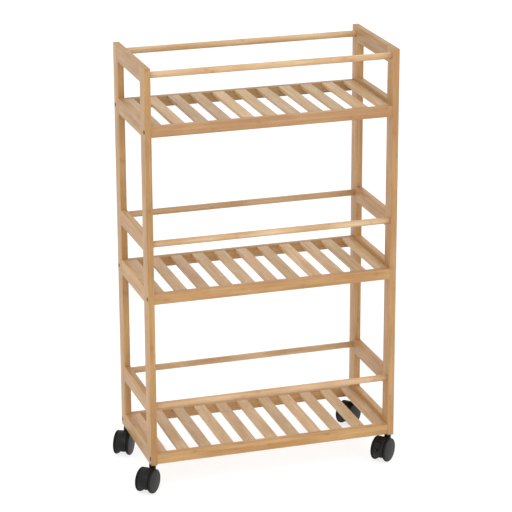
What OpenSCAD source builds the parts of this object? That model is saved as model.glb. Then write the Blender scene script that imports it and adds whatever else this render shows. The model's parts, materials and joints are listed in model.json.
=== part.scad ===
// Slim three-tier rolling cart: two bamboo ladder frames carry three slatted
// shelves with round guard bars, and stand on four hooded twin-wheel casters.
// X runs left to right, Y front to back, Z up from the floor. The origin is on
// the floor, in the middle of the whole cart with its casters trailing.

/* [Frame] */
// Width over the two end frames
cart_w = 480; // [440:1:560]
// Depth over the posts
cart_d = 218; // [190:1:260]
// Thickness of the end frames' boards
board_t = 12; // [12:0.5:16]
// Width of a post, front to back
post_w = 31; // [28:0.5:40]
// Height from one shelf to the next
tier_pitch = 314; // [260:1:340]
// Height of every cross rail in the end frames
cross_h = 30; // [28:1:36]
// Opening between a shelf's bearer and its guard rail
guard_gap = 68.5; // [50:0.5:80]
// Height of the frame's underside above the floor
frame_lift = 50; // [49.5:0.5:53]

/* [Shelves] */
// Height of the rails along the front and the back of a shelf
rail_h = 20; // [18:0.5:24]
// Thickness of those rails
rail_t = 12; // [11:0.5:14]
// How far those rails stand back from the posts' faces
rail_inset = 1; // [0.5:0.5:2]
// How far those rails sit above the bearer's underside
rail_rise = 2; // [1:0.5:4]
// Number of slats in a shelf
slat_count = 11; // [9:1:13]
// Width of a slat
slat_w = 22; // [18:0.5:26]
// Thickness of a slat
slat_t = 6; // [5:0.5:8]
// Diameter of the round guard bars
bar_d = 12; // [10:0.5:14]

/* [Casters] */
// Diameter of the wheels
wheel_d = 46; // [44:0.5:48]
// Width over a caster's two wheels
caster_w = 33; // [32:0.5:36]
// Distance from the swivel axis back to the axle
trail = 20; // [18:0.5:21]
// Way each caster trails, turned from the front towards the left
swing_front_left = 43; // [20:1:60]
// The same for the front right caster
swing_front_right = 48; // [20:1:60]
// The same for the back left caster
swing_back_left = 33; // [20:1:60]
// The same for the back right caster
swing_back_right = 55; // [20:1:60]
// How far a brake pedal tips in when it is pressed
pedal_travel = 8; // [4:1:9]

/* [Hidden] */
$fn = 96;
eps = 0.5;          // how far a cutting shape runs past the face it opens

bamboo = [0.80, 0.62, 0.42];
bamboo_end = [0.74, 0.54, 0.33];
nylon = [0.13, 0.13, 0.13];
tread = [0.09, 0.09, 0.09];
steel = [0.62, 0.62, 0.64];
black_steel = [0.10, 0.10, 0.10];

BOTTOM = 0;
MIDDLE = 1;
TOP = 2;
LEVELS = [BOTTOM, MIDDLE, TOP];
LEFT = 0;
RIGHT = 1;
FRONT = 0;
BACK = 1;
SIDES = [0, 1];

// heights within one tier, from the underside of its bearers
guard_z = cross_h + guard_gap;
shelf_top = rail_rise + rail_h;
frame_h = 2 * tier_pitch + guard_z + cross_h;

// joinery
pin_r = 3;
pin_sink = 10;      // how far a pin enters each of the two pieces
pin_spread = 7.5;   // height of a pin above and below the rail's middle
pin_play = 0.05;
bar_sink = 6;
bar_play = 0.05;
tenon_l = 5;
tenon_w = slat_w - 6;
tenon_t = slat_t - 2;
screw_r = 2.5;
screw_l = 46;
head_r = 3.6;
head_t = 3;
head_sink = 1.2;    // how far the head lies below the board's face
hex_r = 1.8;
hex_depth = 2;
screw_play = 0.05;
insert_r = 4.2;
insert_l = 20;
insert_play = 0.05;
thread_r = 3;
thread_play = 0.05;

// slats
inner_w = cart_w - 2 * board_t;
slat_pitch = (inner_w - slat_w) / (slat_count - 1);
slat_front = rail_inset + rail_t;
slat_l = cart_d - 2 * slat_front;

// caster, about its swivel axis: it trails towards -Y and its axle runs along X
wheel_r = wheel_d / 2;
dome = 1.2;                     // bulge of a wheel's outer face
rim_w = 4;                      // width of a wheel's full-size rim
wheel_out = caster_w / 2;       // crown of the outer face
rim_out = wheel_out - dome;
wheel_in = 8.4;                 // inner face of a wheel
tread_r = wheel_r - 1.6;
hood_r = wheel_r + 0.3;
hood_t = 1.4;
hood_half = rim_out - rim_w - 1.2;
hood_from = 40;                 // ends of the hood's arc, seen from its right
hood_to = 205;
web_half = 7.2;
web_r = hood_r - 0.7;
web_low = 12;                   // underside of the web above the floor
boss_r = 6.4;
boss_top = frame_lift - 3.3;
boss_low = 16;
clip_room = 0.4;                // play round the boss's outline, for the clip's recess
stem_r = 3.5;
stem_play = 0.05;
collar_r = 6;
collar_t = 3;
stem_tip = 12.5;
clip_z = 14.4;
clip_t = 1;
clip_r = 5.4;
clip_mouth = 2.2;               // half the opening of the spring ring
groove_depth = 0.7;
axle_r = 3;
axle_play = 0.05;
axle_half = wheel_out - 3.3;
bore_half = axle_half + 0.4;

// brake pedal: a plate that lies flush in the hood when it is pressed
pedal_low = 22;                 // ends of the plate, above the horizontal
pedal_high = 50;
pedal_left = -6.9;
pedal_right = 2.9;
pedal_in = tread_r + 0.35;
pedal_t = 1.9;
pedal_gap = 0.6;
window_low = pedal_low - 4;     // ends of the window in the hood, above the horizontal
window_high = pedal_high + 3;
window_in = pedal_in - 0.55;
pivot_r = 19.4;                 // pivot's distance from the axle, and its angle
pivot_at = 25;
pivot_pin_r = 1.25;
pivot_play = 0.05;
ear_half = 3;
ear_r = 2.6;
ear_low = pivot_at - 2;         // ends of the rib that joins the ear to the plate
ear_high = pivot_at + 7;
pocket_half = 3.3;
pocket_in = pivot_r - 3.4;
pocket_low = pivot_at - 10;     // ends of the pocket behind the plate
pocket_high = pedal_high - 4;
pin_inset = 0.2;                // how far the pin's ends lie inside the web's faces
vent_at = 12;                   // round hole in the hood below the pedal
vent_r = 2;
vent_depth = 3.7;

SWINGS = [[swing_front_left, swing_front_right], [swing_back_left, swing_back_right]];

// the stems stand under the middle of each post's foot
function stem_x(side) = side == LEFT ? board_t / 2 : cart_w - board_t / 2;
function stem_y(row) = row == FRONT ? post_w / 2 : cart_d - post_w / 2;

// reach of a caster from its swivel axis, along X and along Y
function spread_x(swing) = wheel_out * cos(swing) + wheel_r * sin(swing);
function spread_y(swing) = wheel_out * sin(swing) + wheel_r * cos(swing);
function low_x(side, row) = stem_x(side) - trail * sin(SWINGS[row][side]) - spread_x(SWINGS[row][side]);
function high_x(side, row) = stem_x(side) - trail * sin(SWINGS[row][side]) + spread_x(SWINGS[row][side]);
function low_y(side, row) = stem_y(row) - trail * cos(SWINGS[row][side]) - spread_y(SWINGS[row][side]);

// the frame's front left corner, so that the origin is in the middle of the whole
reach_left = min([for (row = SIDES) low_x(LEFT, row)]);
reach_right = max(cart_w, max([for (row = SIDES) high_x(RIGHT, row)]));
reach_front = min([for (side = SIDES) low_y(side, FRONT)]);
frame_x = -(reach_left + reach_right) / 2;
frame_y = -(reach_front + cart_d) / 2;

function tier_z(level) = frame_lift + level * tier_pitch;

// Places its children in the frame, whose front left foot is the corner.
module in_frame() {
    translate([frame_x, frame_y, 0]) children();
}

// Copies its children, made for the left, to the other end of the cart.
module at_side(side) {
    if (side == LEFT) children();
    if (side == RIGHT) translate([cart_w, 0, 0]) mirror([1, 0, 0]) children();
}

// Copies its children, made for the front, to the back.
module at_row(row) {
    if (row == FRONT) children();
    if (row == BACK) translate([0, cart_d, 0]) mirror([0, 1, 0]) children();
}

// Cylinder along X between two places.
module rod_x(r, x0, x1) {
    translate([x0, 0, 0]) rotate([0, 90, 0]) cylinder(r = r, h = x1 - x0);
}

// Cylinder along Y between two places.
module rod_y(r, y0, y1) {
    translate([0, y0, 0]) rotate([-90, 0, 0]) cylinder(r = r, h = y1 - y0);
}

// Heights of the two pins in each cross rail's end, for one tier.
function pin_heights(level) = [
    for (low = [0, guard_z], up = [-pin_spread, pin_spread]) tier_z(level) + low + cross_h / 2 + up
];

// Pins across the joints between the front left post and its cross rails.
module pin_row(r, reach) {
    for (level = LEVELS, z = pin_heights(level)) {
        translate([board_t / 2, post_w, z]) rod_y(r, -reach, reach);
    }
}

// Screw places: one at each end of a shelf rail, at its middle.
module at_screws() {
    for (level = LEVELS) {
        translate([0, rail_inset + rail_t / 2, tier_z(level) + rail_rise + rail_h / 2]) children();
    }
}

// Room for a screw: the head's counterbore and the shank's hole.
module screw_hole() {
    rod_x(head_r + 0.2, -eps, head_sink + head_t);
    rod_x(screw_r + screw_play, 0, head_sink + screw_l + 1);
}

// Furniture screw with a hex socket in its head.
module screw() {
    difference() {
        union() {
            rod_x(head_r, head_sink, head_sink + head_t);
            rod_x(screw_r, head_sink + head_t - eps, head_sink + screw_l);
        }
        translate([head_sink - eps, 0, 0]) rotate([0, 90, 0]) {
            cylinder(r = hex_r, h = hex_depth + eps, $fn = 6);
        }
    }
}

// Flat post, drilled for its cross rails' pins, its bars, screws and caster.
module post_front_left_shape() {
    difference() {
        translate([0, 0, frame_lift]) cube([board_t, post_w, frame_h]);
        pin_row(pin_r + pin_play, pin_sink + pin_play);
        at_screws() screw_hole();
        for (level = LEVELS) {
            translate([0, post_w / 2, tier_z(level) + guard_z + cross_h / 2]) {
                rod_x(bar_d / 2 + bar_play, board_t - bar_sink - bar_play, board_t + eps);
            }
        }
        translate([board_t / 2, post_w / 2, frame_lift - eps]) {
            cylinder(r = insert_r + insert_play, h = insert_l + eps + 2);
        }
    }
}

module post(side, row) {
    color(bamboo) in_frame() at_side(side) at_row(row) post_front_left_shape();
}

// Rail across an end frame, between its posts.
module cross_rail(side, z) {
    color(bamboo) in_frame() at_side(side) difference() {
        translate([0, post_w, z]) cube([board_t, cart_d - 2 * post_w, cross_h]);
        for (row = SIDES) at_row(row) pin_row(pin_r + pin_play, pin_sink + pin_play);
    }
}

module guard_rail(side, level) {
    cross_rail(side, tier_z(level) + guard_z);
}

module bearer(side, level) {
    cross_rail(side, tier_z(level));
}

// Places one copy of its children at each slat of a shelf.
module at_slats() {
    for (i = [0 : slat_count - 1]) {
        translate([board_t + i * slat_pitch, 0, 0]) children();
    }
}

// Tongue at a slat's end, or the mortise for it.
module slat_tenon(level, grow) {
    translate([
        (slat_w - tenon_w) / 2 - grow,
        slat_front - tenon_l - grow,
        tier_z(level) + shelf_top - (slat_t + tenon_t) / 2 - grow,
    ]) cube([tenon_w + 2 * grow, tenon_l + 1, tenon_t + 2 * grow]);
}

// Rail along the front or the back of a shelf, mortised for the slats.
module shelf_rail(row, level) {
    color(bamboo) in_frame() at_row(row) difference() {
        translate([board_t, rail_inset, tier_z(level) + rail_rise]) cube([inner_w, rail_t, rail_h]);
        at_slats() slat_tenon(level, pin_play);
        for (side = SIDES) at_side(side) at_screws() screw_hole();
    }
}

// The slats of one shelf, their tops level with the rails.
module slats(level) {
    color(bamboo) in_frame() at_slats() {
        translate([0, slat_front, tier_z(level) + shelf_top - slat_t]) cube([slat_w, slat_l, slat_t]);
        for (row = SIDES) at_row(row) slat_tenon(level, 0);
    }
}

// Round guard bar, its ends let into the posts.
module guard_bar(row, level) {
    color(bamboo) in_frame() at_row(row) {
        translate([0, post_w / 2, tier_z(level) + guard_z + cross_h / 2]) {
            rod_x(bar_d / 2, board_t - bar_sink, cart_w - board_t + bar_sink);
        }
    }
}

// Screws through the posts into the shelf rails' ends.
module frame_screws() {
    color(black_steel) in_frame() {
        for (side = SIDES, row = SIDES) at_side(side) at_row(row) at_screws() screw();
    }
}

// Round wooden pins that join the cross rails to the posts.
module joint_pins() {
    color(bamboo_end) in_frame() {
        for (side = SIDES, row = SIDES) at_side(side) at_row(row) pin_row(pin_r, pin_sink);
    }
}

// Places its children, made about a swivel axis, under every post.
module at_stems() {
    for (side = SIDES, row = SIDES) translate([stem_x(side), stem_y(row), 0]) children();
}

// Threaded sleeves in the posts' feet.
module stem_inserts() {
    color(steel) in_frame() at_stems() translate([0, 0, frame_lift]) difference() {
        cylinder(r = insert_r, h = insert_l);
        translate([0, 0, -eps]) cylinder(r = thread_r, h = insert_l + 2 * eps);
    }
}

// Caster stem: thread above its collar, plain swivel pin below it.
module caster_stems() {
    color(black_steel) in_frame() at_stems() difference() {
        union() {
            translate([0, 0, stem_tip]) cylinder(r = stem_r, h = frame_lift - stem_tip);
            translate([0, 0, frame_lift - collar_t]) cylinder(r = collar_r, h = collar_t);
            translate([0, 0, frame_lift - 1]) cylinder(r = thread_r - thread_play, h = insert_l);
        }
        translate([0, 0, clip_z]) difference() {
            cylinder(r = stem_r + eps, h = clip_t);
            cylinder(r = stem_r - groove_depth, h = clip_t);
        }
    }
}

// Spring rings that keep the casters on their stems.
module stem_clips() {
    color(steel) in_frame() at_stems() translate([0, 0, clip_z]) difference() {
        cylinder(r = clip_r, h = clip_t);
        translate([0, 0, -eps]) cylinder(r = stem_r - groove_depth, h = clip_t + 2 * eps);
        translate([0, -clip_mouth, -eps]) cube([clip_r + eps, 2 * clip_mouth, clip_t + 2 * eps]);
    }
}

// Places its children, made about a swivel axis, as the caster of one post.
module in_caster(side, row) {
    in_frame() translate([stem_x(side), stem_y(row), 0]) rotate([0, 0, -SWINGS[row][side]]) children();
}

// Moves its children from the axle to where the caster carries it.
module at_axle() {
    translate([0, -trail, wheel_r]) children();
}

// Extrudes an outline drawn in the caster's side view, with the axle at its
// origin and the trailing side to the left, along the axle.
module across(x0, x1) {
    translate([x0, 0, 0]) rotate([90, 0, 90]) linear_extrude(height = x1 - x0) children();
}

// Part of a ring between two angles and two radii.
module ring_sector(r0, r1, a0, a1) {
    steps = 24;
    polygon(concat(
        [for (i = [0 : steps]) r1 * [cos(a0 + (a1 - a0) * i / steps), sin(a0 + (a1 - a0) * i / steps)]],
        [for (i = [steps : -1 : 0]) r0 * [cos(a0 + (a1 - a0) * i / steps), sin(a0 + (a1 - a0) * i / steps)]]
    ));
}

// Wedge from the axle between two angles, long enough to cut through the hood.
module wedge(a0, a1) {
    far = 2 * wheel_r;
    polygon(concat([[0, 0]], [for (a = [a0 : (a1 - a0) / 4 : a1]) far * [cos(a), sin(a)]]));
}

// The hood's shell over both treads, round as a true cylinder.
module hood_shell() {
    difference() {
        intersection() {
            rod_x(hood_r, -hood_half, hood_half);
            across(-hood_half, hood_half) wedge(hood_from, hood_to);
        }
        rod_x(hood_r - hood_t, -hood_half - eps, hood_half + eps);
    }
}

// The wall between the wheels, open below.
module hood_web() {
    difference() {
        rod_x(web_r, -web_half, web_half);
        translate([-web_half - eps, -2 * wheel_r, -2 * wheel_r]) {
            cube([2 * (web_half + eps), 4 * wheel_r, wheel_r + web_low]);
        }
    }
}

// Room for the brake pedal: a window in the hood and a pocket for its ear.
module pedal_room() {
    across(pedal_left - pedal_gap, pedal_right + pedal_gap) {
        ring_sector(window_in, hood_r + pedal_t, 180 - window_high, 180 - window_low);
    }
    across(-pocket_half, pocket_half) {
        ring_sector(pocket_in, hood_r, 180 - pocket_high, 180 - pocket_low);
    }
}

// Holes that the brake adds to a hood.
module brake_holes() {
    pedal_room();
    at_pivot() rod_x(pivot_pin_r, -web_half - eps, web_half + eps);
    rotate([-vent_at, 0, 0]) rod_y(vent_r, -hood_r - eps, -hood_r + vent_depth);
}

// Caster body: hood, web and the boss that swivels on the stem.
module hood(side, row, brake) {
    color(nylon) in_caster(side, row) difference() {
        union() {
            at_axle() hood_shell();
            at_axle() hood_web();
            translate([0, 0, boss_low]) cylinder(r = boss_r, h = boss_top - boss_low);
        }
        translate([0, 0, boss_low - eps]) cylinder(r = stem_r + stem_play, h = boss_top - boss_low + 2 * eps);
        translate([0, 0, web_low - eps]) cylinder(r = boss_r + clip_room, h = boss_low - web_low + eps);
        at_axle() rod_x(axle_r, -web_half - eps, web_half + eps);
        if (brake) at_axle() brake_holes();
    }
}

// Steel axle pressed through the hood's web.
module axle(side, row) {
    color(steel) in_caster(side, row) at_axle() rod_x(axle_r, -axle_half, axle_half);
}

// Half outline of a wheel, radius along X and the axle's direction along Y.
module wheel_outline() {
    crown_steps = 8;
    hub_r = 6.5;
    wall = 2.6;
    rim_chamfer = 0.9;
    polygon(concat(
        [[axle_r + axle_play, wheel_in], [hub_r, wheel_in], [hub_r, rim_out - wall]],
        [[tread_r - wall, rim_out - wall], [tread_r - wall, wheel_in + 0.4], [tread_r, wheel_in + 0.4]],
        [[tread_r, rim_out - rim_w], [wheel_r, rim_out - rim_w]],
        [[wheel_r, rim_out - rim_chamfer], [wheel_r - rim_chamfer, rim_out]],
        [for (i = [0 : crown_steps])
            let (t = 1 - i / crown_steps) [(wheel_r - 2.4) * t, rim_out - 0.3 + (dome + 0.3) * (1 - t * t)]],
        [[0, bore_half], [axle_r + axle_play, bore_half]]
    ));
}

// One of a caster's two wheels, on the axle's side named by hand: -1 or 1.
module wheel(side, row, hand) {
    color(tread) in_caster(side, row) at_axle() rotate([0, hand * 90, 0]) {
        rotate_extrude() wheel_outline();
    }
}

// Moves its children from the axle to the brake pedal's pivot.
module at_pivot() {
    translate([0, -pivot_r * cos(pivot_at), pivot_r * sin(pivot_at)]) children();
}

// Turns its children, drawn with the pedal pressed, out to its rest position.
module pedal_at_rest() {
    at_pivot() rotate([pedal_travel, 0, 0]) {
        translate([0, pivot_r * cos(pivot_at), -pivot_r * sin(pivot_at)]) children();
    }
}

// Brake pedal: a curved plate and the ear that its pin runs through.
module brake_pedal(side, row) {
    color(nylon) in_caster(side, row) at_axle() pedal_at_rest() difference() {
        union() {
            across(pedal_left, pedal_right) {
                ring_sector(pedal_in, pedal_in + pedal_t, 180 - pedal_high, 180 - pedal_low);
            }
            at_pivot() rod_x(ear_r, -ear_half, ear_half);
            across(-ear_half, ear_half) ring_sector(pivot_r, pedal_in + eps, 180 - ear_high, 180 - ear_low);
        }
        at_pivot() rod_x(pivot_pin_r + pivot_play, -ear_half - eps, ear_half + eps);
    }
}

module brake_pin(side, row) {
    color(steel) in_caster(side, row) at_axle() at_pivot() {
        rod_x(pivot_pin_r, -web_half + pin_inset, web_half - pin_inset);
    }
}

post(LEFT, FRONT);  // post_front_left
post(RIGHT, FRONT);  // post_front_right
post(LEFT, BACK);  // post_back_left
post(RIGHT, BACK);  // post_back_right
guard_rail(LEFT, TOP);  // guard_rail_left_top
guard_rail(LEFT, MIDDLE);  // guard_rail_left_middle
guard_rail(LEFT, BOTTOM);  // guard_rail_left_bottom
guard_rail(RIGHT, TOP);  // guard_rail_right_top
guard_rail(RIGHT, MIDDLE);  // guard_rail_right_middle
guard_rail(RIGHT, BOTTOM);  // guard_rail_right_bottom
bearer(LEFT, TOP);  // bearer_left_top
bearer(LEFT, MIDDLE);  // bearer_left_middle
bearer(LEFT, BOTTOM);  // bearer_left_bottom
bearer(RIGHT, TOP);  // bearer_right_top
bearer(RIGHT, MIDDLE);  // bearer_right_middle
bearer(RIGHT, BOTTOM);  // bearer_right_bottom
shelf_rail(FRONT, TOP);  // front_rail_top
shelf_rail(FRONT, MIDDLE);  // front_rail_middle
shelf_rail(FRONT, BOTTOM);  // front_rail_bottom
shelf_rail(BACK, TOP);  // back_rail_top
shelf_rail(BACK, MIDDLE);  // back_rail_middle
shelf_rail(BACK, BOTTOM);  // back_rail_bottom
slats(TOP);  // slats_top
slats(MIDDLE);  // slats_middle
slats(BOTTOM);  // slats_bottom
guard_bar(FRONT, TOP);  // front_bar_top
guard_bar(FRONT, MIDDLE);  // front_bar_middle
guard_bar(FRONT, BOTTOM);  // front_bar_bottom
guard_bar(BACK, TOP);  // back_bar_top
guard_bar(BACK, MIDDLE);  // back_bar_middle
guard_bar(BACK, BOTTOM);  // back_bar_bottom
frame_screws();
joint_pins();
stem_inserts();
caster_stems();
stem_clips();
hood(LEFT, FRONT, false);  // hood_front_left
hood(RIGHT, FRONT, true);  // hood_front_right
hood(LEFT, BACK, false);  // hood_back_left
hood(RIGHT, BACK, true);  // hood_back_right
axle(LEFT, FRONT);  // axle_front_left
axle(RIGHT, FRONT);  // axle_front_right
axle(LEFT, BACK);  // axle_back_left
axle(RIGHT, BACK);  // axle_back_right
wheel(LEFT, FRONT, -1);  // left_wheel_front_left
wheel(RIGHT, FRONT, -1);  // left_wheel_front_right
wheel(LEFT, BACK, -1);  // left_wheel_back_left
wheel(RIGHT, BACK, -1);  // left_wheel_back_right
wheel(LEFT, FRONT, 1);  // right_wheel_front_left
wheel(RIGHT, FRONT, 1);  // right_wheel_front_right
wheel(LEFT, BACK, 1);  // right_wheel_back_left
wheel(RIGHT, BACK, 1);  // right_wheel_back_right
brake_pedal(RIGHT, FRONT);  // brake_pedal_front_right
brake_pedal(RIGHT, BACK);  // brake_pedal_back_right
brake_pin(RIGHT, FRONT);  // brake_pin_front_right
brake_pin(RIGHT, BACK);  // brake_pin_back_right
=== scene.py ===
"""Looks of the three-tier bamboo cart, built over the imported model's frame."""

import itertools
import math
import random

import bmesh
import bpy
import numpy as np
from mathutils import Matrix, Vector
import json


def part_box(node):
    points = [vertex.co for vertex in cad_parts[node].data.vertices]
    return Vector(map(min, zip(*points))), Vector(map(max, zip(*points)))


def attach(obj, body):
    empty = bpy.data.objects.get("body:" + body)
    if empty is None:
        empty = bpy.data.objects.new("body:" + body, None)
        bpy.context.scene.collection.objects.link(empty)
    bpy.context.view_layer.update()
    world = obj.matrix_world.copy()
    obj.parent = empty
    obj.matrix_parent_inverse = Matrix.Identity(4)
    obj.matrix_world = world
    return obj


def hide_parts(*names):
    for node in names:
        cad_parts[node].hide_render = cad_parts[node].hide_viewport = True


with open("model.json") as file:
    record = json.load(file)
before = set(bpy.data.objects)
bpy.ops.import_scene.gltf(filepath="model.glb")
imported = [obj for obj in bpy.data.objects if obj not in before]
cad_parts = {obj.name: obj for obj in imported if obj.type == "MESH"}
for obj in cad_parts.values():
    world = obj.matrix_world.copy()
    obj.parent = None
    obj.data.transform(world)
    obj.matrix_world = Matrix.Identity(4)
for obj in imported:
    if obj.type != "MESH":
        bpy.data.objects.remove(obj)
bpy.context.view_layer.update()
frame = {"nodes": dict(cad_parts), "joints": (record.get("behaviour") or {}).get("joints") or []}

LEVELS = ("bottom", "middle", "top")
SIDES = ("left", "right")
ROWS = ("front", "back")
MM = 0.001

# edge rounding of the posts and cross rails, of the shelf rails and of the slats
POST_EDGE = 1.0 * MM
RAIL_EDGE = 0.9 * MM
SLAT_EDGE = 0.8 * MM
# what is left of the rounding where boards meet flush, and how far it runs out
SHARP = 0.06 * MM
RUN_OUT = 0.1 * MM

# how finely round shapes are cut, and from which angle in degrees an edge stays sharp
ARC_STEPS = 4
HOLE_SEGMENTS = 40
BAR_SEGMENTS = 48
BAR_LENGTHS = 12
WHEEL_SEGMENTS = 96
WOOD_CREASE = 32
WHEEL_CREASE = 38
CAD_CREASE = 40

# a shelf's slats, as in the CAD source
SLAT_W = 22 * MM
SLAT_COUNT = 11

# joinery that shows, as in the CAD source
HEAD_HOLE_R = 3.8 * MM
HEAD_HOLE_DEPTH = 4.2 * MM
SHANK_HOLE_R = 2.55 * MM
BAR_SINK = 6.05 * MM
BAR_HOLE_R = 6.05 * MM
INSERT_HOLE_R = 4.25 * MM
INSERT_HOLE_DEPTH = 22 * MM
SHANK_HOLE_DEPTH = 20 * MM
HOLE_FLARE = 0.35 * MM
PAST_FACE = 1 * MM

# how light the boards are: 0 is the palette's own tone, and a step of 1 is a tenth
POST_TONE = -0.4
# boards are darker the higher their shelf stands
LEVEL_TONE = {"bottom": 0.4, "middle": 0.0, "top": -0.9}
CROSS_TONE = {"bottom": -0.8, "middle": -0.3, "top": -1.6}
# the back rails are darker, most at the top shelf: partly the boards' own tone, partly painted shade
# that stands in for the shade between the slats
BACK_TONE_AND_SHADE = {"bottom": -0.6, "middle": -1.6, "top": -2.4}

# the camera's place in metres, its angles in degrees and its lens in millimetres
CAMERA_AT = (-1.22335, -3.86505, 1.7732)
CAMERA_AZIMUTH = -17.69
CAMERA_ELEVATION = 18.62
CAMERA_ROLL = -0.209
CAMERA_LENS = 160.75
SENSOR_WIDTH = 36

FLOOR_REACH = 30.0


# ---------------------------------------------------------------- materials


class Nodes:
    """Short names for adding and linking shader nodes."""

    def __init__(self, name):
        self.mat = bpy.data.materials.new(name)
        self.mat.use_nodes = True
        self.tree = self.mat.node_tree
        self.tree.nodes.clear()
        self.out = self.add("ShaderNodeOutputMaterial")
        self.shader = self.add("ShaderNodeBsdfPrincipled")
        self.link(self.shader.outputs[0], self.out.inputs["Surface"])

    def add(self, kind, **settings):
        n = self.tree.nodes.new(kind)
        for key, value in settings.items():
            setattr(n, key, value)
        return n

    def link(self, a, b):
        self.tree.links.new(a, b)

    def put(self, value, socket):
        """A number or colour is set on the socket; an output is linked to it."""
        if isinstance(value, bpy.types.NodeSocket):
            self.link(value, socket)
        else:
            socket.default_value = value

    def attr(self, name):
        return self.add("ShaderNodeAttribute", attribute_type="GEOMETRY", attribute_name=name)

    def math(self, op, a, b=None, clamp=False):
        n = self.add("ShaderNodeMath", operation=op, use_clamp=clamp)
        self.put(a, n.inputs[0])
        if b is not None:
            self.put(b, n.inputs[1])
        return n.outputs[0]

    def vec(self, op, a, b):
        n = self.add("ShaderNodeVectorMath", operation=op)
        self.put(a, n.inputs[0])
        self.put(b, n.inputs[1])
        return n.outputs[0]

    def split(self, v):
        n = self.add("ShaderNodeSeparateXYZ")
        self.link(v, n.inputs[0])
        return n.outputs

    def join(self, x, y, z):
        n = self.add("ShaderNodeCombineXYZ")
        for value, socket in zip((x, y, z), n.inputs):
            self.put(value, socket)
        return n.outputs[0]

    def stretched(self, parts, factors):
        """A vector of the parts, each times its factor."""
        return self.join(*(self.math("MULTIPLY", p, factor) for p, factor in zip(parts, factors)))

    def noise(self, vector, scale=1.0, detail=2.0, rough=0.5):
        n = self.add("ShaderNodeTexNoise")
        self.link(vector, n.inputs["Vector"])
        n.inputs["Scale"].default_value = scale
        n.inputs["Detail"].default_value = detail
        n.inputs["Roughness"].default_value = rough
        return n.outputs["Fac"]

    def white(self, vector):
        n = self.add("ShaderNodeTexWhiteNoise", noise_dimensions="3D")
        self.link(vector, n.inputs["Vector"])
        return n.outputs

    def ramp(self, value, low, high, to_low=0.0, to_high=1.0, smooth=True):
        n = self.add("ShaderNodeMapRange")
        n.interpolation_type = "SMOOTHSTEP" if smooth else "LINEAR"
        self.put(value, n.inputs["Value"])
        names = ("From Min", "From Max", "To Min", "To Max")
        for name, x in zip(names, (low, high, to_low, to_high)):
            n.inputs[name].default_value = x
        return n.outputs["Result"]

    def mix(self, factor, a, b, mode="MIX"):
        n = self.add("ShaderNodeMix", data_type="RGBA", blend_type=mode)
        self.put(factor, n.inputs[0])
        self.put(a, n.inputs[6])
        self.put(b, n.inputs[7])
        return n.outputs[2]

    def bump(self, height, distance, strength=1.0):
        n = self.add("ShaderNodeBump")
        n.inputs["Distance"].default_value = distance
        n.inputs["Strength"].default_value = strength
        self.link(height, n.inputs["Height"])
        return n.outputs[0]

    def edges(self, radius):
        """How much an edge lies within the radius: 0 on a flat face, more on a corner."""
        n = self.add("ShaderNodeBevel", samples=6)
        n.inputs["Radius"].default_value = radius
        g = self.add("ShaderNodeNewGeometry")
        d = self.add("ShaderNodeVectorMath", operation="DOT_PRODUCT")
        self.link(n.outputs[0], d.inputs[0])
        self.link(g.outputs["Normal"], d.inputs[1])
        return self.math("SUBTRACT", 1.0, d.outputs["Value"], clamp=True)


def rgb(r, g, b):
    """Linear colour from the usual 0 to 255 screen values."""
    lin = [(c / 255) / 12.92 if c <= 10 else ((c / 255 + 0.055) / 1.055) ** 2.4 for c in (r, g, b)]
    return (*lin, 1.0)


# the bamboo's strips and their nodes
STRIP_W = 5.6 * MM
STRIP_T = 6.3 * MM
SEAM_W = 0.16 * MM
NODE_SPACING = 0.26


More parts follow.
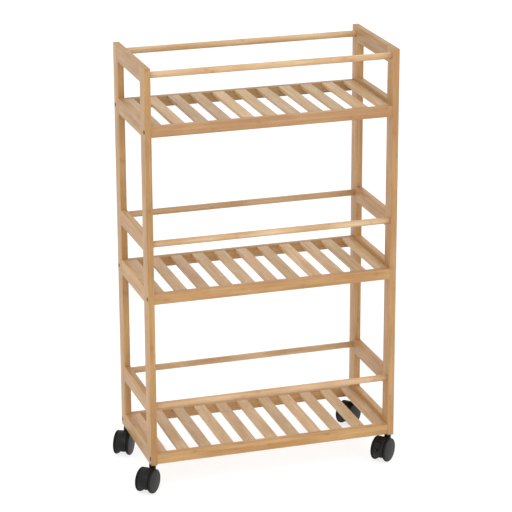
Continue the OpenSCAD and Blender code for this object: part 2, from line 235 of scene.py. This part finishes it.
def bamboo_material(name, pale, deep, streak):
    """Side-pressed bamboo strips under a satin lacquer, between two tones.

    The "grain" attribute runs along the fibres in X, across the strips in Y
    and through them in Z, in metres; "board" holds each board's tone, its
    number and whether a face cuts across the fibres.
    """
    m = Nodes(name)
    grain = m.attr("grain").outputs["Vector"]
    along, across, through = m.split(grain)
    tone, number, end = m.split(m.attr("board").outputs["Vector"])

    # strips, in layers, each with its own colour and its own nodes along the culm
    strip = m.math("FLOOR", m.math("DIVIDE", across, STRIP_W))
    layer = m.math("FLOOR", m.math("DIVIDE", through, STRIP_T))
    strip_rand, strip_colour = m.white(m.join(strip, number, layer))
    r1, r2, r3 = m.split(strip_colour)
    gap = m.math("PINGPONG", across, STRIP_W / 2)
    seam = m.ramp(gap, 0.0, SEAM_W, 1.0, 0.0)

    # fibres that wander a little, from broad streaks down to short dark dashes
    wander = m.noise(m.join(m.math("MULTIPLY", along, 9.0), m.math("MULTIPLY", across, 60.0), number))
    drift = m.math("SUBTRACT", wander, 0.5)
    side = m.math("ADD", across, m.math("MULTIPLY", drift, 1.6 * MM))
    fibres = (along, side, through)
    fine = m.noise(m.stretched(fibres, (26.0, 2300.0, 2300.0)), detail=3.0, rough=0.6)
    broad = m.noise(m.stretched(fibres, (7.0, 420.0, 420.0)), rough=0.55)
    dash = m.ramp(m.noise(m.stretched(fibres, (70.0, 3200.0, 3200.0)), detail=1.0), 0.58, 0.68)
    own = m.math("ADD", number, strip_rand)
    cloud = m.noise(m.join(m.math("MULTIPLY", along, 11.0), m.math("MULTIPLY", across, 45.0), own))

    # culm nodes: a thin dark line in a soft brown band, on some strips only
    place = m.math("ADD", along, m.math("MULTIPLY", r1, NODE_SPACING))
    place = m.math("ADD", place, m.math("MULTIPLY", drift, 2.4 * MM))
    from_node = m.math("PINGPONG", place, NODE_SPACING / 2)
    chosen = m.ramp(r2, 0.30, 0.34)
    node_line = m.math("MULTIPLY", m.ramp(from_node, 0.3 * MM, 1.3 * MM, 1.0, 0.0), chosen)
    node_band = m.math("MULTIPLY", m.ramp(from_node, 1.0 * MM, 9.0 * MM, 1.0, 0.0), chosen)

    colour = m.mix(m.ramp(cloud, 0.30, 0.72), deep, pale)
    colour = m.mix(m.ramp(strip_rand, 0.0, 1.0, 0.0, 0.42, smooth=False), colour, deep)
    colour = m.mix(m.ramp(r3, 0.62, 1.0, 0.0, 0.26), colour, rgb(196, 150, 114))
    colour = m.mix(m.ramp(broad, 0.40, 0.72, 0.0, 0.24), colour, streak)
    colour = m.mix(m.ramp(broad, 0.50, 0.28, 0.0, 0.16), colour, rgb(222, 190, 140))
    colour = m.mix(m.ramp(fine, 0.45, 0.80, 0.0, 0.26), colour, streak)
    colour = m.mix(m.math("MULTIPLY", dash, 0.34), colour, rgb(118, 82, 46))
    colour = m.mix(m.math("MULTIPLY", node_band, 0.26), colour, streak)
    colour = m.mix(m.math("MULTIPLY", node_line, 0.34), colour, rgb(128, 88, 52))
    colour = m.mix(m.math("MULTIPLY", seam, 0.16), colour, rgb(132, 94, 56))

    # cut ends show the fibre bundles as dots
    bundles = m.join(m.math("MULTIPLY", across, 2600.0), m.math("MULTIPLY", through, 2600.0), number)
    dots = m.noise(bundles, detail=1.0)
    cut = m.mix(m.ramp(dots, 0.46, 0.66), rgb(176, 136, 90), rgb(132, 92, 54))
    colour = m.mix(m.math("MULTIPLY", end, 0.42), colour, cut)

    # each board's own cast and tone, and edges rubbed a little paler
    rosy, olive, _ = m.split(m.white(m.join(number, 1.3, 7.7))[1])
    colour = m.mix(m.ramp(rosy, 0.5, 1.0, 0.0, 0.22), colour, rgb(204, 152, 120))
    colour = m.mix(m.ramp(olive, 0.5, 1.0, 0.0, 0.20), colour, rgb(186, 164, 116))
    shade = m.math("ADD", 1.0, m.math("MULTIPLY", tone, 0.10))
    colour = m.mix(1.0, colour, m.join(shade, shade, shade), "MULTIPLY")
    rub = m.ramp(m.edges(1.2 * MM), 0.02, 0.28, 0.0, 0.22)
    colour = m.mix(rub, colour, rgb(214, 180, 132))
    m.link(colour, m.shader.inputs["Base Color"])

    rough = m.math("ADD", 0.44, m.math("MULTIPLY", m.math("SUBTRACT", broad, 0.5), 0.22))
    rough = m.math("ADD", rough, m.math("MULTIPLY", end, 0.15))
    m.link(rough, m.shader.inputs["Roughness"])
    m.shader.inputs["Specular IOR Level"].default_value = 0.36
    m.shader.inputs["Coat Weight"].default_value = 0.12
    m.shader.inputs["Coat Roughness"].default_value = 0.34

    relief = m.math("SUBTRACT", m.math("MULTIPLY", fine, 0.35), m.math("MULTIPLY", seam, 0.5))
    relief = m.math("SUBTRACT", relief, m.math("MULTIPLY", dash, 0.4))
    relief = m.math("ADD", relief, m.math("MULTIPLY", node_line, 0.7))
    m.link(m.bump(relief, 0.045 * MM), m.shader.inputs["Normal"])
    return m.mat


def nylon_material(name, base, wear, rough, grain_size, shine):
    """Moulded black nylon: fine spark-eroded skin, faint mottling, rubbed edges."""
    m = Nodes(name)
    where = m.add("ShaderNodeTexCoord").outputs["Object"]
    mottle = m.noise(where, 130.0, 3.0, 0.55)
    flow = m.noise(m.vec("MULTIPLY", where, (60.0, 60.0, 320.0)), 1.0, 2.0, 0.5)
    skin = m.noise(where, 1.0 / grain_size, 2.0, 0.6)
    dust = m.ramp(m.noise(where, 900.0, 2.0, 0.7), 0.66, 0.82)
    rub = m.ramp(m.edges(0.9 * MM), 0.03, 0.35, 0.0, 0.55)

    colour = m.mix(m.ramp(mottle, 0.3, 0.75), base, tuple(1.35 * c for c in base[:3]) + (1.0,))
    colour = m.mix(m.math("MULTIPLY", rub, m.ramp(flow, 0.35, 0.7, 0.35, 1.0)), colour, wear)
    colour = m.mix(m.math("MULTIPLY", dust, 0.08), colour, rgb(96, 94, 90))
    m.link(colour, m.shader.inputs["Base Color"])

    amount = m.math("ADD", rough, m.math("MULTIPLY", m.math("SUBTRACT", mottle, 0.5), 0.16))
    m.link(m.math("ADD", amount, m.math("MULTIPLY", dust, 0.1)), m.shader.inputs["Roughness"])
    m.shader.inputs["Specular IOR Level"].default_value = shine
    height = m.math("ADD", m.math("MULTIPLY", skin, 0.7), m.math("MULTIPLY", flow, 0.3))
    m.link(m.bump(height, 0.05 * MM, 0.8), m.shader.inputs["Normal"])
    return m.mat


def steel_material(name, base, rough, metallic, tint, worn):
    """Plated or blackened steel with a drawn finish and small blotches."""
    m = Nodes(name)
    where = m.add("ShaderNodeTexCoord").outputs["Object"]
    drawn = m.noise(m.vec("MULTIPLY", where, (2600.0, 2600.0, 260.0)), 1.0, 2.0, 0.6)
    blotch = m.noise(where, 420.0, 3.0, 0.6)
    colour = m.mix(m.ramp(blotch, 0.4, 0.75), base, tint)
    colour = m.mix(m.ramp(m.edges(0.5 * MM), 0.03, 0.3, 0.0, 0.3), colour, worn)
    m.link(colour, m.shader.inputs["Base Color"])
    m.shader.inputs["Metallic"].default_value = metallic
    amount = m.math("ADD", rough, m.math("MULTIPLY", m.math("SUBTRACT", drawn, 0.5), 0.2))
    m.link(amount, m.shader.inputs["Roughness"])
    m.link(m.bump(drawn, 0.02 * MM, 0.6), m.shader.inputs["Normal"])
    return m.mat


def turned_wood_material():
    """Plain turned beech, for the hidden joint pins."""
    m = Nodes("beech_turned")
    where = m.add("ShaderNodeTexCoord").outputs["Object"]
    fibre = m.noise(m.vec("MULTIPLY", where, (1400.0, 90.0, 1400.0)), 1.0, 3.0, 0.6)
    fleck = m.ramp(m.noise(m.vec("MULTIPLY", where, (1900.0, 420.0, 1900.0)), 1.0, 1.0), 0.6, 0.7)
    colour = m.mix(m.ramp(fibre, 0.3, 0.7), rgb(196, 152, 112), rgb(214, 176, 138))
    colour = m.mix(m.math("MULTIPLY", fleck, 0.35), colour, rgb(150, 104, 70))
    m.link(colour, m.shader.inputs["Base Color"])
    m.link(m.ramp(fibre, 0.2, 0.8, 0.5, 0.68), m.shader.inputs["Roughness"])
    m.link(m.bump(fibre, 0.05 * MM), m.shader.inputs["Normal"])
    return m.mat


BAMBOO = bamboo_material("bamboo_frame", rgb(198, 158, 104), rgb(173, 128, 75), rgb(142, 97, 54))
# a dark bamboo for the walls of the holes: painted shade in the recesses
BAMBOO_HOLE_SHADE = bamboo_material("bamboo_hole_shade", rgb(84, 58, 36), rgb(62, 42, 26), rgb(44, 30, 20))
BAMBOO_SLATS = bamboo_material(
    "bamboo_slats", rgb(211, 181, 140), rgb(186, 151, 106), rgb(152, 113, 75),
)
BAMBOO_BARS = bamboo_material(
    "bamboo_bars", rgb(224, 196, 158), rgb(194, 154, 110), rgb(160, 116, 78),
)
NYLON = nylon_material("nylon_hood", rgb(16, 16, 16), rgb(52, 52, 51), 0.44, 0.32 * MM, 0.22)
WHEEL = nylon_material("nylon_wheel", rgb(24, 24, 22), rgb(66, 65, 62), 0.46, 0.26 * MM, 0.24)
# the tread's darker nylon is painted shade for the gap between the hood and the disc
TREAD_AND_SHADE = nylon_material("nylon_tread_and_shade", rgb(13, 13, 12), rgb(34, 34, 33), 0.58, 0.40 * MM, 0.20)
BLACK_STEEL = steel_material(
    "steel_black", rgb(18, 17, 16), 0.5, 0.3, rgb(32, 30, 28), rgb(70, 68, 66),
)
ZINC_STEEL = steel_material(
    "steel_zinc", rgb(178, 178, 180), 0.34, 1.0, rgb(150, 152, 158), rgb(205, 205, 208),
)
BEECH = turned_wood_material()


# ------------------------------------------------------------------- wood


def ring(bm, lo, hi, axis, station, inset, radii):
    """One cross-section of a board: a rectangle with four rounded corners.

    inset gives how far each side is drawn in: low u, high u, low v, high v.
    """
    u, v = (axis + 1) % 3, (axis + 2) % 3
    u0, u1 = lo[u] + inset[0], hi[u] - inset[1]
    v0, v1 = lo[v] + inset[2], hi[v] - inset[3]
    verts = []
    for k, (cu, cv) in enumerate(((1, 1), (-1, 1), (-1, -1), (1, -1))):
        r = radii[k]
        mid_u = (u1 if cu > 0 else u0) - cu * r
        mid_v = (v1 if cv > 0 else v0) - cv * r
        for i in range(ARC_STEPS + 1):
            a = math.radians(90 * k + 90 * i / ARC_STEPS)
            co = [0.0, 0.0, 0.0]
            co[axis] = station
            co[u] = mid_u + r * math.cos(a)
            co[v] = mid_v + r * math.sin(a)
            verts.append(bm.verts.new(co))
    return verts


def skin(bm, rings):
    """Closes a row of rings into a solid."""
    n = len(rings[0])
    for a, b in zip(rings, rings[1:]):
        for i in range(n):
            j = (i + 1) % n
            bm.faces.new((a[i], a[j], b[j], b[i]))
    bm.faces.new(list(reversed(rings[0])))
    bm.faces.new(rings[-1])


def add_board(bm, lo, hi, axis, edge, end_sides, flats=()):
    """A board with rounded long edges.

    end_sides is, for the low and the high end, which of the four sides have
    that end's edge rounded. A flat (start, stop, corners) keeps those corners
    sharp where another board meets this one flush.
    """
    stops = {lo[axis], hi[axis]}
    for k, low in enumerate((True, False)):
        if any(end_sides[k]):
            for i in range(ARC_STEPS + 1):
                depth = edge * (1 - math.cos(math.radians(90 * i / ARC_STEPS)))
                stops.add(lo[axis] + depth if low else hi[axis] - depth)
    for start, stop, _ in flats:
        marks = (start - RUN_OUT, start + edge, stop - edge, stop + RUN_OUT)
        stops.update(s for s in marks if lo[axis] < s < hi[axis])
    rings = []
    for s in sorted(stops):
        inset = [0.0] * 4
        for k, depth in enumerate((s - lo[axis], hi[axis] - s)):
            if depth < edge and any(end_sides[k]):
                draw = edge - math.sqrt(max(0.0, edge**2 - (edge - depth) ** 2))
                inset = [max(a, draw * on) for a, on in zip(inset, end_sides[k])]
        radii = []
        for corner in range(4):
            r = edge
            for start, stop, corners in flats:
                near = min(s - start, stop - s) + RUN_OUT
                if corner in corners and near > 0:
                    r = min(r, max(SHARP, edge * (1 - near / (edge + RUN_OUT))))
            radii.append(max(SHARP, r - 0.6 * max(inset)))
        rings.append(ring(bm, lo, hi, axis, s, inset, radii))
    skin(bm, rings)


def add_lathe(bm, profile, segments, place):
    """Turns a profile of (radius, height) about the Z axis of place."""
    loops = []
    for r, h in profile:
        if r < 1e-7:
            loops.append([bm.verts.new(place @ Vector((0, 0, h)))])
            continue
        step = 2 * math.pi / segments
        loops.append([
            bm.verts.new(place @ Vector((r * math.cos(i * step), r * math.sin(i * step), h)))
            for i in range(segments)
        ])
    for a, b in zip(loops, loops[1:]):
        for i in range(segments):
            j = (i + 1) % segments
            if len(a) == 1:
                bm.faces.new((a[0], b[j], b[i]))
            elif len(b) == 1:
                bm.faces.new((a[i], a[j], b[0]))
            else:
                bm.faces.new((a[i], a[j], b[j], b[i]))


def mesh_from(bm, name):
    bmesh.ops.recalc_face_normals(bm, faces=bm.faces)
    mesh = bpy.data.meshes.new(name)
    bm.to_mesh(mesh)
    bm.free()
    return mesh


def combined(mesh, tool, operation):
    """The mesh after an exact boolean; faces keep the material numbers they came with."""
    body = bpy.data.objects.new("boolean_body", mesh)
    other = bpy.data.objects.new("boolean_tool", tool)
    for o in (body, other):
        bpy.context.scene.collection.objects.link(o)
    mod = body.modifiers.new("boolean", "BOOLEAN")
    mod.operation, mod.solver, mod.object = operation, "EXACT", other
    bpy.context.view_layer.update()
    shown = body.evaluated_get(bpy.context.evaluated_depsgraph_get())
    done = bpy.data.meshes.new_from_object(shown)
    name = mesh.name
    for o in (body, other):
        bpy.data.objects.remove(o)
    bpy.data.meshes.remove(mesh)
    bpy.data.meshes.remove(tool)
    done.name = name
    return done


def facing(axis, sign):
    """Turns Z to the given axis, or against it if sign is -1."""
    way = Vector([sign if k == axis else 0 for k in range(3)])
    return way.to_track_quat("Z", "Y").to_matrix().to_4x4()


def grain_attributes(mesh, boards, axis):
    """Writes the grain and board attributes that the bamboo material reads.

    boards lists (lo, hi, number, tone); a vertex belongs to the nearest one.
    """
    n = len(mesh.vertices)
    co = np.zeros(n * 3)
    mesh.vertices.foreach_get("co", co)
    co = co.reshape(-1, 3)
    u, v = (axis + 1) % 3, (axis + 2) % 3
    grain, board = np.zeros((n, 3)), np.zeros((n, 3))
    outside = np.array([
        sum(np.maximum(0, np.maximum(lo[k] - co[:, k], co[:, k] - hi[k])) for k in range(3))
        for lo, hi, _, _ in boards
    ])
    owner = outside.argmin(0)
    for k, (lo, hi, number, tone) in enumerate(boards):
        mine = owner == k
        wide, thin = (u, v) if hi[u] - lo[u] >= hi[v] - lo[v] else (v, u)
        shift = random.Random(number * 7 + 3)
        grain[mine, 0] = co[mine, axis] + shift.uniform(0, 5)
        grain[mine, 1] = co[mine, wide] - lo[wide] + shift.uniform(0, 1)
        grain[mine, 2] = co[mine, thin] - lo[thin] + shift.uniform(0, 1)
        board[mine, 0] = tone
        board[mine, 1] = number
    mesh.attributes.new("grain", "FLOAT_VECTOR", "POINT").data.foreach_set("vector", grain.ravel())
    ends = np.array([abs(p.normal[axis]) > 0.8 for p in mesh.polygons])
    corner = mesh.attributes.new("board", "FLOAT_VECTOR", "CORNER")
    data = np.zeros((len(mesh.loops), 3))
    for p in mesh.polygons:
        for li in p.loop_indices:
            data[li] = board[mesh.loops[li].vertex_index]
            data[li, 2] = float(ends[p.index])
    corner.data.foreach_set("vector", data.ravel())


def wooden(name, mesh, boards, axis, node, material=BAMBOO):
    """Makes the object, smooth but for its sharp edges, and rides it on the frame."""
    grain_attributes(mesh, boards, axis)
    if not mesh.materials:
        mesh.materials.append(material)
    for p in mesh.polygons:
        p.use_smooth = True
    mesh.set_sharp_from_angle(angle=math.radians(WOOD_CREASE))
    o = bpy.data.objects.new(name, mesh)
    bpy.context.scene.collection.objects.link(o)
    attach(o, "frame")
    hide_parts(node)


def tone_of(number):
    return random.Random(number * 31 + 5).uniform(-1, 1)


board_numbers = itertools.count(1)


def bore(radius, depth):
    """The profile of a plain round hole, from a little above the face."""
    return [(0, -PAST_FACE), (radius, -PAST_FACE), (radius, depth), (0, depth)]


def make_post(side, row):
    node = f"post_{row}_{side}"
    lo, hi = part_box(node)
    number = next(board_numbers)
    # the corners and the ends' edges where the cross rails meet the post flush stay sharp
    inner = (0, 1) if row == "front" else (2, 3)
    sides = (1, 1, 1, 0) if row == "front" else (1, 1, 0, 1)
    flats = []
    for level in LEVELS:
        for kind in ("bearer", "guard_rail"):
            a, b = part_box(f"{kind}_{side}_{level}")
            # a rail level with the post's end counts as running past it
            start = a.z if a.z > lo.z + MM else lo.z - 5 * MM
            stop = b.z if b.z < hi.z - MM else hi.z + 5 * MM
            flats.append((start, stop, inner))
    bm = bmesh.new()
    add_board(bm, lo, hi, 2, POST_EDGE, (sides, sides), flats)
    mesh = mesh_from(bm, f"wood_{node}")

    # counterbores on the outer face, bar sockets on the inner one, the caster's hole below
    out = -1 if side == "left" else 1
    outer_x = lo.x if side == "left" else hi.x
    inner_x = hi.x if side == "left" else lo.x
    bm = bmesh.new()
    into = facing(0, -out)
    for level in LEVELS:
        a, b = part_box(f"{row}_rail_{level}")
        place = Matrix.Translation((outer_x, (a.y + b.y) / 2, (a.z + b.z) / 2)) @ into
        add_lathe(bm, [
            (0, -PAST_FACE), (HEAD_HOLE_R + HOLE_FLARE + PAST_FACE, -PAST_FACE),
            (HEAD_HOLE_R, HOLE_FLARE), (HEAD_HOLE_R, HEAD_HOLE_DEPTH),
            (SHANK_HOLE_R, HEAD_HOLE_DEPTH), (SHANK_HOLE_R, SHANK_HOLE_DEPTH), (0, SHANK_HOLE_DEPTH),
        ], HOLE_SEGMENTS, place)
        a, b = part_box(f"{row}_bar_{level}")
        place = Matrix.Translation((inner_x, (a.y + b.y) / 2, (a.z + b.z) / 2)) @ facing(0, out)
        add_lathe(bm, bore(BAR_HOLE_R, BAR_SINK), BAR_SEGMENTS, place)
    place = Matrix.Translation(((lo.x + hi.x) / 2, (lo.y + hi.y) / 2, lo.z)) @ facing(2, 1)
    add_lathe(bm, bore(INSERT_HOLE_R, INSERT_HOLE_DEPTH), HOLE_SEGMENTS, place)
    # the holes' walls get the dark bamboo, painted shade in the recesses
    cutters = mesh_from(bm, "post_cutters")
    for p in cutters.polygons:
        p.material_index = 1
    for part in (mesh, cutters):
        part.materials.append(BAMBOO)
        part.materials.append(BAMBOO_HOLE_SHADE)
    mesh = combined(mesh, cutters, "DIFFERENCE")
    tone = POST_TONE + 0.5 * tone_of(number)
    wooden(f"bamboo_{node}", mesh, [(lo, hi, number, tone)], 2, node)


def make_cross_rail(kind, side, level):
    node = f"{kind}_{side}_{level}"
    lo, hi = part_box(node)
    number = next(board_numbers)
    bm = bmesh.new()
    add_board(bm, lo, hi, 1, POST_EDGE, ((0,) * 4, (0,) * 4))
    tone = CROSS_TONE[level] + 0.4 * tone_of(number)
    wooden(f"bamboo_{node}", mesh_from(bm, f"wood_{node}"), [(lo, hi, number, tone)], 1, node)


def make_shelf_rail(row, level):
    node = f"{row}_rail_{level}"
    lo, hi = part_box(node)
    number = next(board_numbers)
    # back rails are darker by their own tone and by painted shade between the slats
    tone = (BACK_TONE_AND_SHADE if row == "back" else LEVEL_TONE)[level] + 0.3 * tone_of(number)
    bm = bmesh.new()
    add_board(bm, lo, hi, 0, RAIL_EDGE, ((0,) * 4, (0,) * 4))
    wooden(f"bamboo_{node}", mesh_from(bm, f"wood_{node}"), [(lo, hi, number, tone)], 0, node)


def make_slats(level):
    """The slats of a shelf, between its rails; their tongues stay out of sight."""
    node = f"slats_{level}"
    lo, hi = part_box(node)
    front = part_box(f"front_rail_{level}")[1].y
    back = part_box(f"back_rail_{level}")[0].y
    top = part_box(f"front_rail_{level}")[1].z
    pitch = (hi.x - lo.x - SLAT_W) / (SLAT_COUNT - 1)
    boards = []
    bm = bmesh.new()
    for i in range(SLAT_COUNT):
        a = Vector((lo.x + i * pitch, front, lo.z))
        b = Vector((a.x + SLAT_W, back, top))
        add_board(bm, a, b, 1, SLAT_EDGE, ((0,) * 4, (0,) * 4))
        number = next(board_numbers)
        boards.append((a, b, number, 0.7 * LEVEL_TONE[level] + 1.3 * tone_of(number)))
    wooden(f"bamboo_{node}", mesh_from(bm, f"wood_{node}"), boards, 1, node, BAMBOO_SLATS)


def make_bar(row, level):
    """A round bar, its ends eased where they enter the posts."""
    node = f"{row}_bar_{level}"
    lo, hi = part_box(node)
    number = next(board_numbers)
    r = (hi.z - lo.z) / 2
    place = Matrix.Translation((lo.x, (lo.y + hi.y) / 2, (lo.z + hi.z) / 2)) @ facing(0, 1)
    long = hi.x - lo.x
    ease = 0.6 * MM
    stops = [ease + (long - 2 * ease) * i / BAR_LENGTHS for i in range(BAR_LENGTHS + 1)]
    profile = [(0, 0), (r - ease, 0), (r - 0.3 * ease, 0.3 * ease)] + [(r, h) for h in stops]
    profile += [(r - 0.3 * ease, long - 0.3 * ease), (r - ease, long), (0, long)]
    bm = bmesh.new()
    add_lathe(bm, profile, BAR_SEGMENTS, place)
    boards = [(lo, hi, number, 0.8 * tone_of(number))]
    wooden(f"bamboo_{node}", mesh_from(bm, f"wood_{node}"), boards, 0, node, BAMBOO_BARS)


for side in SIDES:
    for row in ROWS:
        make_post(side, row)
for level in LEVELS:
    for side in SIDES:
        make_cross_rail("bearer", side, level)
        make_cross_rail("guard_rail", side, level)
    for row in ROWS:
        make_shelf_rail(row, level)
        make_bar(row, level)
    make_slats(level)


# ---------------------------------------------------------------- casters


def arc(mid, r, a0, a1, steps):
    """Points on an arc about mid, from angle a0 to a1 in degrees."""
    return [
        (mid[0] + r * math.cos(math.radians(a0 + (a1 - a0) * i / steps)),
         mid[1] + r * math.sin(math.radians(a0 + (a1 - a0) * i / steps)))
        for i in range(steps + 1)
    ]


# the outer disc is smooth nylon, and the rest of the wheel is the dull tread, made darker than the
# disc as painted shade for the gap under the hood
DISC_FROM = 14.8 * MM
DISC_R = 22.2 * MM


def wheel_mesh():
    """One wheel about Z, its outer face up; radii and heights are in millimetres."""
    disc_r, disc_low, disc_high = 20.6, 15.0, 16.5
    rim_r, tread_r, tread_low = 23.0, 21.4, 8.8
    hub_r, hub_low, bore_r, bore_top = 6.5, 8.4, 3.05, 13.6
    web_z, soft = 12.7, 0.4

    # the crowned disc, with a moulding mark in its middle
    outline = [(0, disc_high - 0.22), (0.9, disc_high - 0.22), (1.25, disc_high - 0.02)]
    for i in range(1, 17):
        t = 0.08 + 0.92 * i / 16
        outline.append((disc_r * t, disc_low + (disc_high - disc_low) * (1 - t * t)))
    # a groove round it, then the rim, with a fine groove of its own
    outline += [(20.75, 14.85), (21.05, 14.85), (21.25, 15.1), (21.5, 15.25), (21.9, 15.3)]
    outline += [(22.2, 15.16), (22.45, 14.92), (22.72, 14.62), (22.9, 14.35), (rim_r, 14.0)]
    outline += [(rim_r, 13.1), (22.86, 12.95), (22.86, 12.75), (rim_r, 12.6)]
    outline += arc((rim_r - soft, 11.7), soft, 0, -90, 4)
    # the narrower tread that runs under the hood
    outline += [(21.8, 11.3), (21.5, 11.15), (tread_r, 10.9)]
    outline += arc((tread_r - soft, tread_low + soft), soft, 0, -90, 4)
    outline += arc((19.2, tread_low + soft), soft, -90, -180, 4)
    # the hollow inside, the hub and its bore
    outline += [(18.8, 12.0), (18.6, 12.5), (18.1, web_z), (7.2, web_z), (6.7, 12.5), (hub_r, 12.0)]
    outline += arc((hub_r - soft, hub_low + soft), soft, 0, -90, 4)
    outline += [(3.45, hub_low), (bore_r, hub_low + soft), (bore_r, bore_top), (0, bore_top)]
    bm = bmesh.new()
    add_lathe(bm, [(r * MM, h * MM) for r, h in outline], WHEEL_SEGMENTS, Matrix.Identity(4))
    mesh = mesh_from(bm, "wheel_turned")

    # ribs from the hub to the tread, a little thicker at the web than at their edge
    bm = bmesh.new()
    ribs, rib_from, rib_to, rib_half, rib_low, rib_high = 9, 5.9, 19.4, 0.6, 10.2, 13.0
    around = ((rib_from, -1), (rib_to, -1), (rib_to, 1), (rib_from, 1))
    for i in range(ribs):
        turn = Matrix.Rotation(2 * math.pi * i / ribs, 4, "Z")
        low, high = (
            [bm.verts.new(turn @ Vector((r, y * half, z)) * MM) for r, y in around]
            for half, z in ((rib_half, rib_low), (rib_half * 1.25, rib_high))
        )
        bm.faces.new(low)
        bm.faces.new(high)
        for a in range(4):
            bm.faces.new((low[a], low[(a + 1) % 4], high[(a + 1) % 4], high[a]))
    mesh = combined(mesh, mesh_from(bm, "wheel_ribs"), "UNION")
    mesh.materials.clear()
    mesh.materials.append(WHEEL)
    mesh.materials.append(TREAD_AND_SHADE)
    # faces off the disc take the darker tread nylon, which is painted shade
    for p in mesh.polygons:
        on_disc = p.center.z > DISC_FROM and p.center.to_2d().length < DISC_R
        p.material_index = 0 if on_disc else 1
    return mesh


WHEEL_MESH = wheel_mesh()

for joint in frame["joints"]:
    if "_roll_" not in joint["name"]:
        continue
    body = joint["child"]
    hand = -1 if body.startswith("left") else 1
    way = Vector(joint["axis"]).normalized() * hand
    mesh = WHEEL_MESH.copy()
    mesh.name = f"turned_{body}"
    x = Vector((0, 0, 1)).cross(way).normalized()
    turn = Matrix((x, way.cross(x), way)).transposed().to_4x4()
    mesh.transform(Matrix.Translation(joint["pos_m"]) @ turn)
    for p in mesh.polygons:
        p.use_smooth = True
    mesh.set_sharp_from_angle(angle=math.radians(WHEEL_CREASE))
    o = bpy.data.objects.new(f"moulded_{body}", mesh)
    bpy.context.scene.collection.objects.link(o)
    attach(o, body)
    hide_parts(body)


# ------------------------------------------- CAD nodes that keep their shape


def dress(node, material, bevel=0.0):
    """Gives a CAD node its material, and softens its edges."""
    o = frame["nodes"][node]
    o.data.materials.clear()
    o.data.materials.append(material)
    if bevel:
        weld = o.modifiers.new("weld", "WELD")
        weld.merge_threshold = 0.002 * MM
        mod = o.modifiers.new("soft_edges", "BEVEL")
        mod.width, mod.segments, mod.limit_method = bevel, 3, "ANGLE"
        mod.angle_limit = math.radians(CAD_CREASE)
        mod.harden_normals = True


for corner in (f"{row}_{side}" for row in ROWS for side in SIDES):
    dress(f"hood_{corner}", NYLON, 0.28 * MM)
    dress(f"axle_{corner}", ZINC_STEEL)
for corner in ("front_right", "back_right"):
    dress(f"brake_pedal_{corner}", NYLON, 0.3 * MM)
    dress(f"brake_pin_{corner}", ZINC_STEEL)
dress("frame_screws", BLACK_STEEL)
dress("caster_stems", BLACK_STEEL, 0.25 * MM)
dress("stem_clips", ZINC_STEEL)
dress("stem_inserts", ZINC_STEEL)
dress("joint_pins", BEECH)


# ------------------------------------------------------------------ studio


def make_floor():
    """A white floor that glows a little, so that only faint shadows show on it."""
    m = Nodes("studio_floor")
    where = m.add("ShaderNodeTexCoord").outputs["Object"]
    speckle = m.noise(where, 3.0, 2.0, 0.5)
    colour = m.mix(speckle, (0.28, 0.28, 0.28, 1), (0.30, 0.30, 0.30, 1))
    m.link(colour, m.shader.inputs["Base Color"])
    m.shader.inputs["Emission Color"].default_value = (1, 1, 1, 1)
    m.shader.inputs["Emission Strength"].default_value = 0.78
    m.shader.inputs["Roughness"].default_value = 0.9
    m.shader.inputs["Specular IOR Level"].default_value = 0.1
    bm = bmesh.new()
    corners = ((-1, -1), (1, -1), (1, 1), (-1, 1))
    bm.faces.new([bm.verts.new((FLOOR_REACH * x, FLOOR_REACH * y, 0)) for x, y in corners])
    mesh = mesh_from(bm, "studio_floor")
    mesh.materials.append(m.mat)
    o = bpy.data.objects.new("studio_floor", mesh)
    bpy.context.scene.collection.objects.link(o)


def make_sun(name, towards, strength, spread):
    light = bpy.data.lights.new(name, "SUN")
    light.energy, light.angle = strength, math.radians(spread)
    o = bpy.data.objects.new(name, light)
    o.rotation_euler = (-Vector(towards)).to_track_quat("-Z", "Y").to_euler()
    bpy.context.scene.collection.objects.link(o)


def make_world(strength):
    world = bpy.data.worlds.new("studio")
    world.use_nodes = True
    back = world.node_tree.nodes["Background"]
    back.inputs[0].default_value = (1, 1, 1, 1)
    back.inputs[1].default_value = strength
    bpy.context.scene.world = world


def make_camera():
    """Stands where the photograph was taken from, with its long lens."""
    data = bpy.data.cameras.new("camera")
    data.sensor_width = SENSOR_WIDTH
    data.lens = CAMERA_LENS
    data.clip_start, data.clip_end = 0.1, 100
    azimuth = math.radians(CAMERA_AZIMUTH)
    elevation = math.radians(CAMERA_ELEVATION)
    roll = math.radians(CAMERA_ROLL)
    flat = math.cos(elevation)
    right = Vector((math.cos(azimuth), math.sin(azimuth), 0))
    back = Vector((math.sin(azimuth) * flat, -math.cos(azimuth) * flat, math.sin(elevation)))
    up = back.cross(right)
    x = right * math.cos(roll) + up * math.sin(roll)
    y = up * math.cos(roll) - right * math.sin(roll)
    o = bpy.data.objects.new("camera", data)
    o.matrix_world = Matrix.Translation(CAMERA_AT) @ Matrix((x, y, back)).transposed().to_4x4()
    bpy.context.scene.collection.objects.link(o)
    bpy.context.scene.camera = o


make_floor()
make_sun("key", (-0.45, -0.75, 0.95), 0.8, 40)
make_sun("fill", (0.8, -0.35, 0.7), 0.15, 50)
make_world(1.0)
make_camera()
bpy.context.scene.view_settings.view_transform = "Standard"
